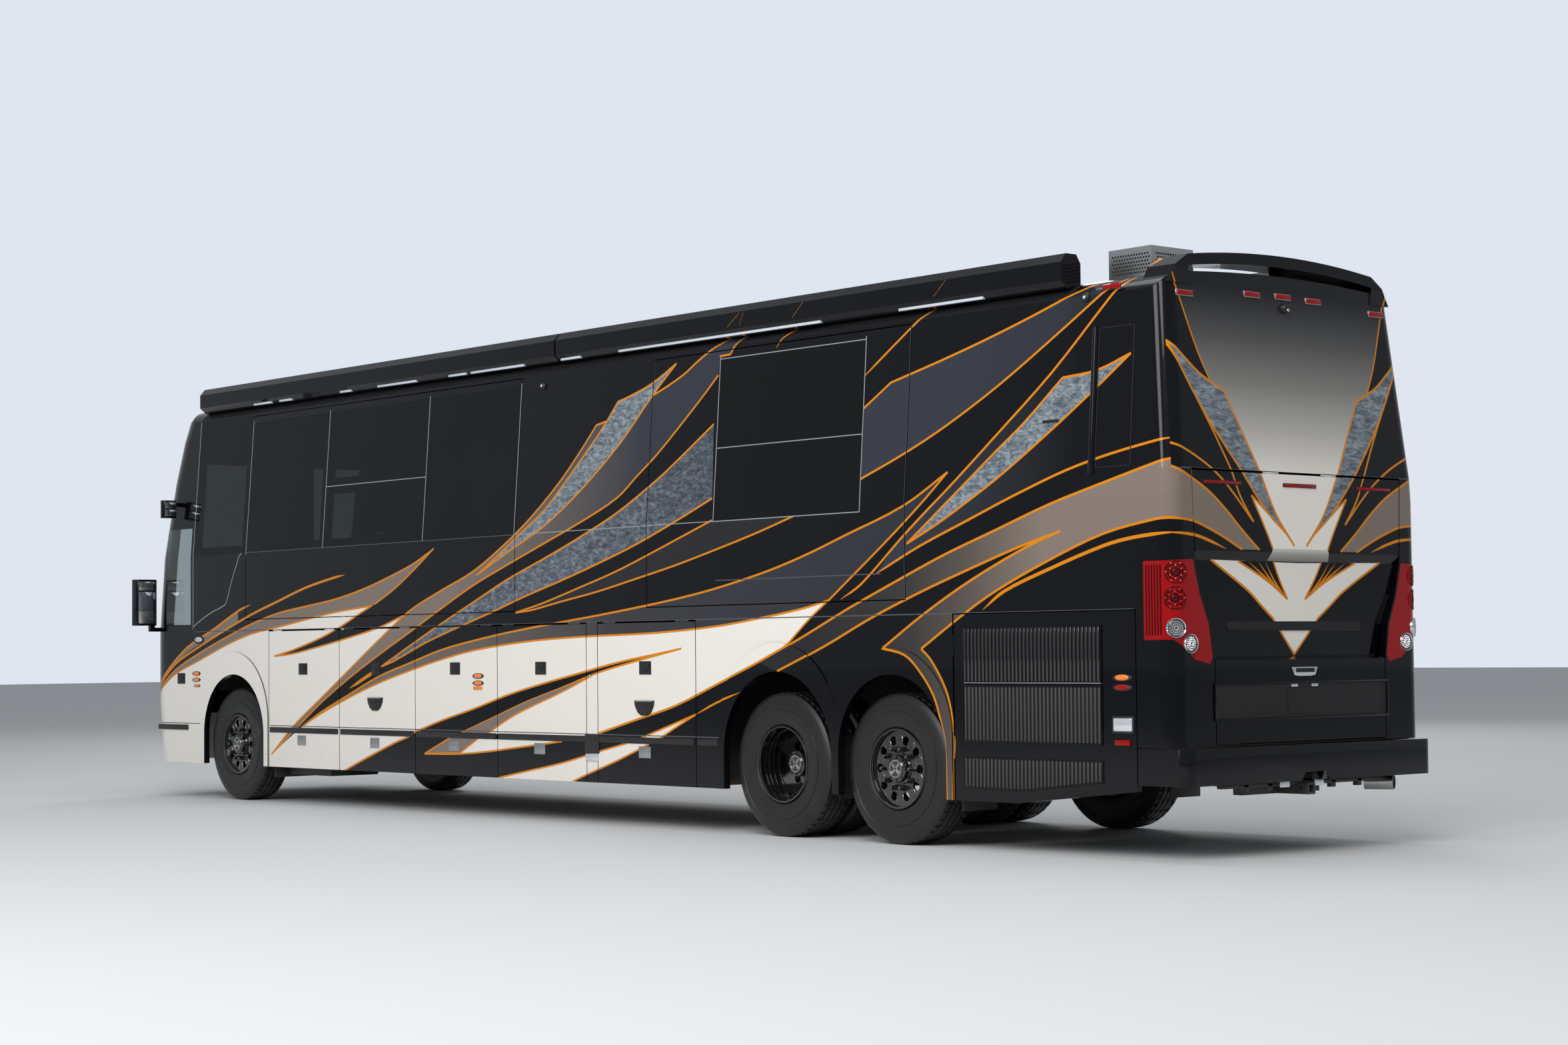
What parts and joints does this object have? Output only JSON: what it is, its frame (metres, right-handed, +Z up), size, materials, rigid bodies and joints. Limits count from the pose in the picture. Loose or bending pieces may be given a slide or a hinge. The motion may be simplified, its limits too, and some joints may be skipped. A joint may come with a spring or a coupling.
{
  "type": "motorhome",
  "caption": "Long motorhome on a coach chassis with sliding room sections, opening baggage bays, steered front wheels, a tag axle and roof awnings, in black, pearl and grey sweeps.",
  "frame": {"origin": "on the ground under the middle of the bounding box, midway between nose and rear bumper", "axes": "+X to the front of the vehicle, +Y to its left side, +Z up"},
  "size_m": [13.8498, 3.11, 4.0398],
  "materials": {
    "body_paint": "gloss black paint with grey and pearl sweeps",
    "lower_paint": "gloss pearl white paint with black sweeps and orange pinstripes",
    "tinted_glass": "dark tinted glass",
    "clear_glass": "clear glass",
    "tyre_rubber": "black rubber",
    "wheel_black": "gloss black with bright edges",
    "chassis_black": "satin black chassis paint",
    "floor_board": "matt board",
    "engine_iron": "cast iron",
    "dash_trim": "soft matt trim",
    "seat_leather": "cream leather",
    "red_lamp": "clear red lens",
    "clear_lamp": "clear lens",
    "vent_steel": "perforated stainless sheet",
    "awning_black": "satin black case"
  },
  "bodies": {
    "root": {"awnings": "awning_black", "bay_bulkheads": "floor_board", "bay_floor": "floor_board", "dashboard": "dash_trim", "deck": "floor_board", "drive_axle": "chassis_black", "driver_deck": "floor_board", "engine": "engine_iron", "front_axle": "chassis_black", "front_bumper": "body_paint", "front_cap": "body_paint", "front_seats": "seat_leather", "front_subframe": "chassis_black", "headlights": "clear_lamp", "hitch_receiver": "chassis_black", "left_lower_panels": "lower_paint", "left_wall": "body_paint", "mirrors": "body_paint", "rear_bumper": "body_paint", "rear_cap": "body_paint", "rear_subframe": "chassis_black", "right_lower_panels": "lower_paint", "right_wall": "body_paint", "roof": "body_paint", "roof_vent_box": "vent_steel", "side_windows": "tinted_glass", "tag_axle": "chassis_black", "tail_lights": "red_lamp", "windshield": "clear_glass"},
    "front_slide": {"front_slide": "body_paint", "front_slide_windows": "tinted_glass"},
    "rear_slide": {"rear_slide": "body_paint", "rear_slide_windows": "tinted_glass"},
    "engine_door": {"engine_door": "body_paint"},
    "radiator_door": {"radiator_door": "lower_paint"},
    "entry_door": {"entry_door": "body_paint"},
    "left_knuckle": {"left_steering_knuckle": "chassis_black"},
    "right_knuckle": {"right_steering_knuckle": "chassis_black"},
    "left_baggage_door_1": {"left_baggage_door_1": "lower_paint"},
    "left_baggage_door_2": {"left_baggage_door_2": "lower_paint"},
    "left_baggage_door_3": {"left_baggage_door_3": "lower_paint"},
    "left_baggage_door_4": {"left_baggage_door_4": "lower_paint"},
    "left_baggage_door_5": {"left_baggage_door_5": "lower_paint"},
    "front_left_wheel": {"front_left_tyre": "tyre_rubber", "front_left_rim": "wheel_black"},
    "drive_left_wheel": {"drive_left_tyre": "tyre_rubber", "drive_left_rim": "wheel_black"},
    "tag_left_wheel": {"tag_left_tyre": "tyre_rubber", "tag_left_rim": "wheel_black"},
    "right_baggage_door_1": {"right_baggage_door_1": "lower_paint"},
    "right_baggage_door_2": {"right_baggage_door_2": "lower_paint"},
    "right_baggage_door_3": {"right_baggage_door_3": "lower_paint"},
    "right_baggage_door_4": {"right_baggage_door_4": "lower_paint"},
    "right_baggage_door_5": {"right_baggage_door_5": "lower_paint"},
    "front_right_wheel": {"front_right_tyre": "tyre_rubber", "front_right_rim": "wheel_black"},
    "drive_right_wheel": {"drive_right_tyre": "tyre_rubber", "drive_right_rim": "wheel_black"},
    "tag_right_wheel": {"tag_right_tyre": "tyre_rubber", "tag_right_rim": "wheel_black"}
  },
  "joints": [
    {"name": "left_steering", "type": "hinge", "parent": "root", "child": "left_knuckle", "pos_m": [5.075, 1.02, 0.535], "axis": [0, 0, 1], "range_deg": [-42, 42]},
    {"name": "front_left_wheel_spin", "type": "hinge", "parent": "left_knuckle", "child": "front_left_wheel", "pos_m": [5.075, 1.1, 0.535], "axis": [0, 1, 0], "continuous": true},
    {"name": "drive_left_wheel_spin", "type": "hinge", "parent": "root", "child": "drive_left_wheel", "pos_m": [-2.955, 1.1, 0.535], "axis": [0, 1, 0], "continuous": true},
    {"name": "tag_left_wheel_spin", "type": "hinge", "parent": "root", "child": "tag_left_wheel", "pos_m": [-4.2, 1.1, 0.535], "axis": [0, 1, 0], "continuous": true},
    {"name": "left_baggage_door_1_lift", "type": "hinge", "parent": "root", "child": "left_baggage_door_1", "pos_m": [3.7912, 1.29, 1.613], "axis": [1, 0, 0], "range_deg": [0, 85]},
    {"name": "left_baggage_door_2_lift", "type": "hinge", "parent": "root", "child": "left_baggage_door_2", "pos_m": [2.5376, 1.29, 1.613], "axis": [1, 0, 0], "range_deg": [0, 85]},
    {"name": "left_baggage_door_3_lift", "type": "hinge", "parent": "root", "child": "left_baggage_door_3", "pos_m": [1.284, 1.29, 1.613], "axis": [1, 0, 0], "range_deg": [0, 85]},
    {"name": "left_baggage_door_4_lift", "type": "hinge", "parent": "root", "child": "left_baggage_door_4", "pos_m": [0.0304, 1.29, 1.613], "axis": [1, 0, 0], "range_deg": [0, 85]},
    {"name": "left_baggage_door_5_lift", "type": "hinge", "parent": "root", "child": "left_baggage_door_5", "pos_m": [-1.3732, 1.29, 1.613], "axis": [1, 0, 0], "range_deg": [0, 85]},
    {"name": "right_steering", "type": "hinge", "parent": "root", "child": "right_knuckle", "pos_m": [5.075, -1.02, 0.535], "axis": [0, 0, 1], "range_deg": [-42, 42]},
    {"name": "front_right_wheel_spin", "type": "hinge", "parent": "right_knuckle", "child": "front_right_wheel", "pos_m": [5.075, -1.1, 0.535], "axis": [0, 1, 0], "continuous": true},
    {"name": "drive_right_wheel_spin", "type": "hinge", "parent": "root", "child": "drive_right_wheel", "pos_m": [-2.955, -1.1, 0.535], "axis": [0, 1, 0], "continuous": true},
    {"name": "tag_right_wheel_spin", "type": "hinge", "parent": "root", "child": "tag_right_wheel", "pos_m": [-4.2, -1.1, 0.535], "axis": [0, 1, 0], "continuous": true},
    {"name": "right_baggage_door_1_lift", "type": "hinge", "parent": "root", "child": "right_baggage_door_1", "pos_m": [3.7912, -1.29, 1.613], "axis": [-1, 0, 0], "range_deg": [0, 85]},
    {"name": "right_baggage_door_2_lift", "type": "hinge", "parent": "root", "child": "right_baggage_door_2", "pos_m": [2.5376, -1.29, 1.613], "axis": [-1, 0, 0], "range_deg": [0, 85]},
    {"name": "right_baggage_door_3_lift", "type": "hinge", "parent": "root", "child": "right_baggage_door_3", "pos_m": [1.284, -1.29, 1.613], "axis": [-1, 0, 0], "range_deg": [0, 85]},
    {"name": "right_baggage_door_4_lift", "type": "hinge", "parent": "root", "child": "right_baggage_door_4", "pos_m": [0.0304, -1.29, 1.613], "axis": [-1, 0, 0], "range_deg": [0, 85]},
    {"name": "right_baggage_door_5_lift", "type": "hinge", "parent": "root", "child": "right_baggage_door_5", "pos_m": [-1.3732, -1.29, 1.613], "axis": [-1, 0, 0], "range_deg": [0, 85]},
    {"name": "engine_door_lift", "type": "hinge", "parent": "root", "child": "engine_door", "pos_m": [-6.83, 0, 2.515], "axis": [0, 1, 0], "range_deg": [0, 80]},
    {"name": "radiator_door_swing", "type": "hinge", "parent": "root", "child": "radiator_door", "pos_m": [-4.833, 1.29, 1], "axis": [0, 0, -1], "range_deg": [0, 100]},
    {"name": "entry_door_swing", "type": "hinge", "parent": "root", "child": "entry_door", "pos_m": [6.487, -1.29, 1.25], "axis": [0, 0, 1], "range_deg": [0, 90]},
    {"name": "front_slide_out", "type": "slide", "parent": "root", "child": "front_slide", "axis": [0, 1, 0], "range_m": [0, 0.6]},
    {"name": "rear_slide_out", "type": "slide", "parent": "root", "child": "rear_slide", "axis": [0, 1, 0], "range_m": [0, 0.6]}
  ],
  "couplings": [
    {"joint": "right_steering", "follows": "left_steering", "ratio": 1}
  ]
}
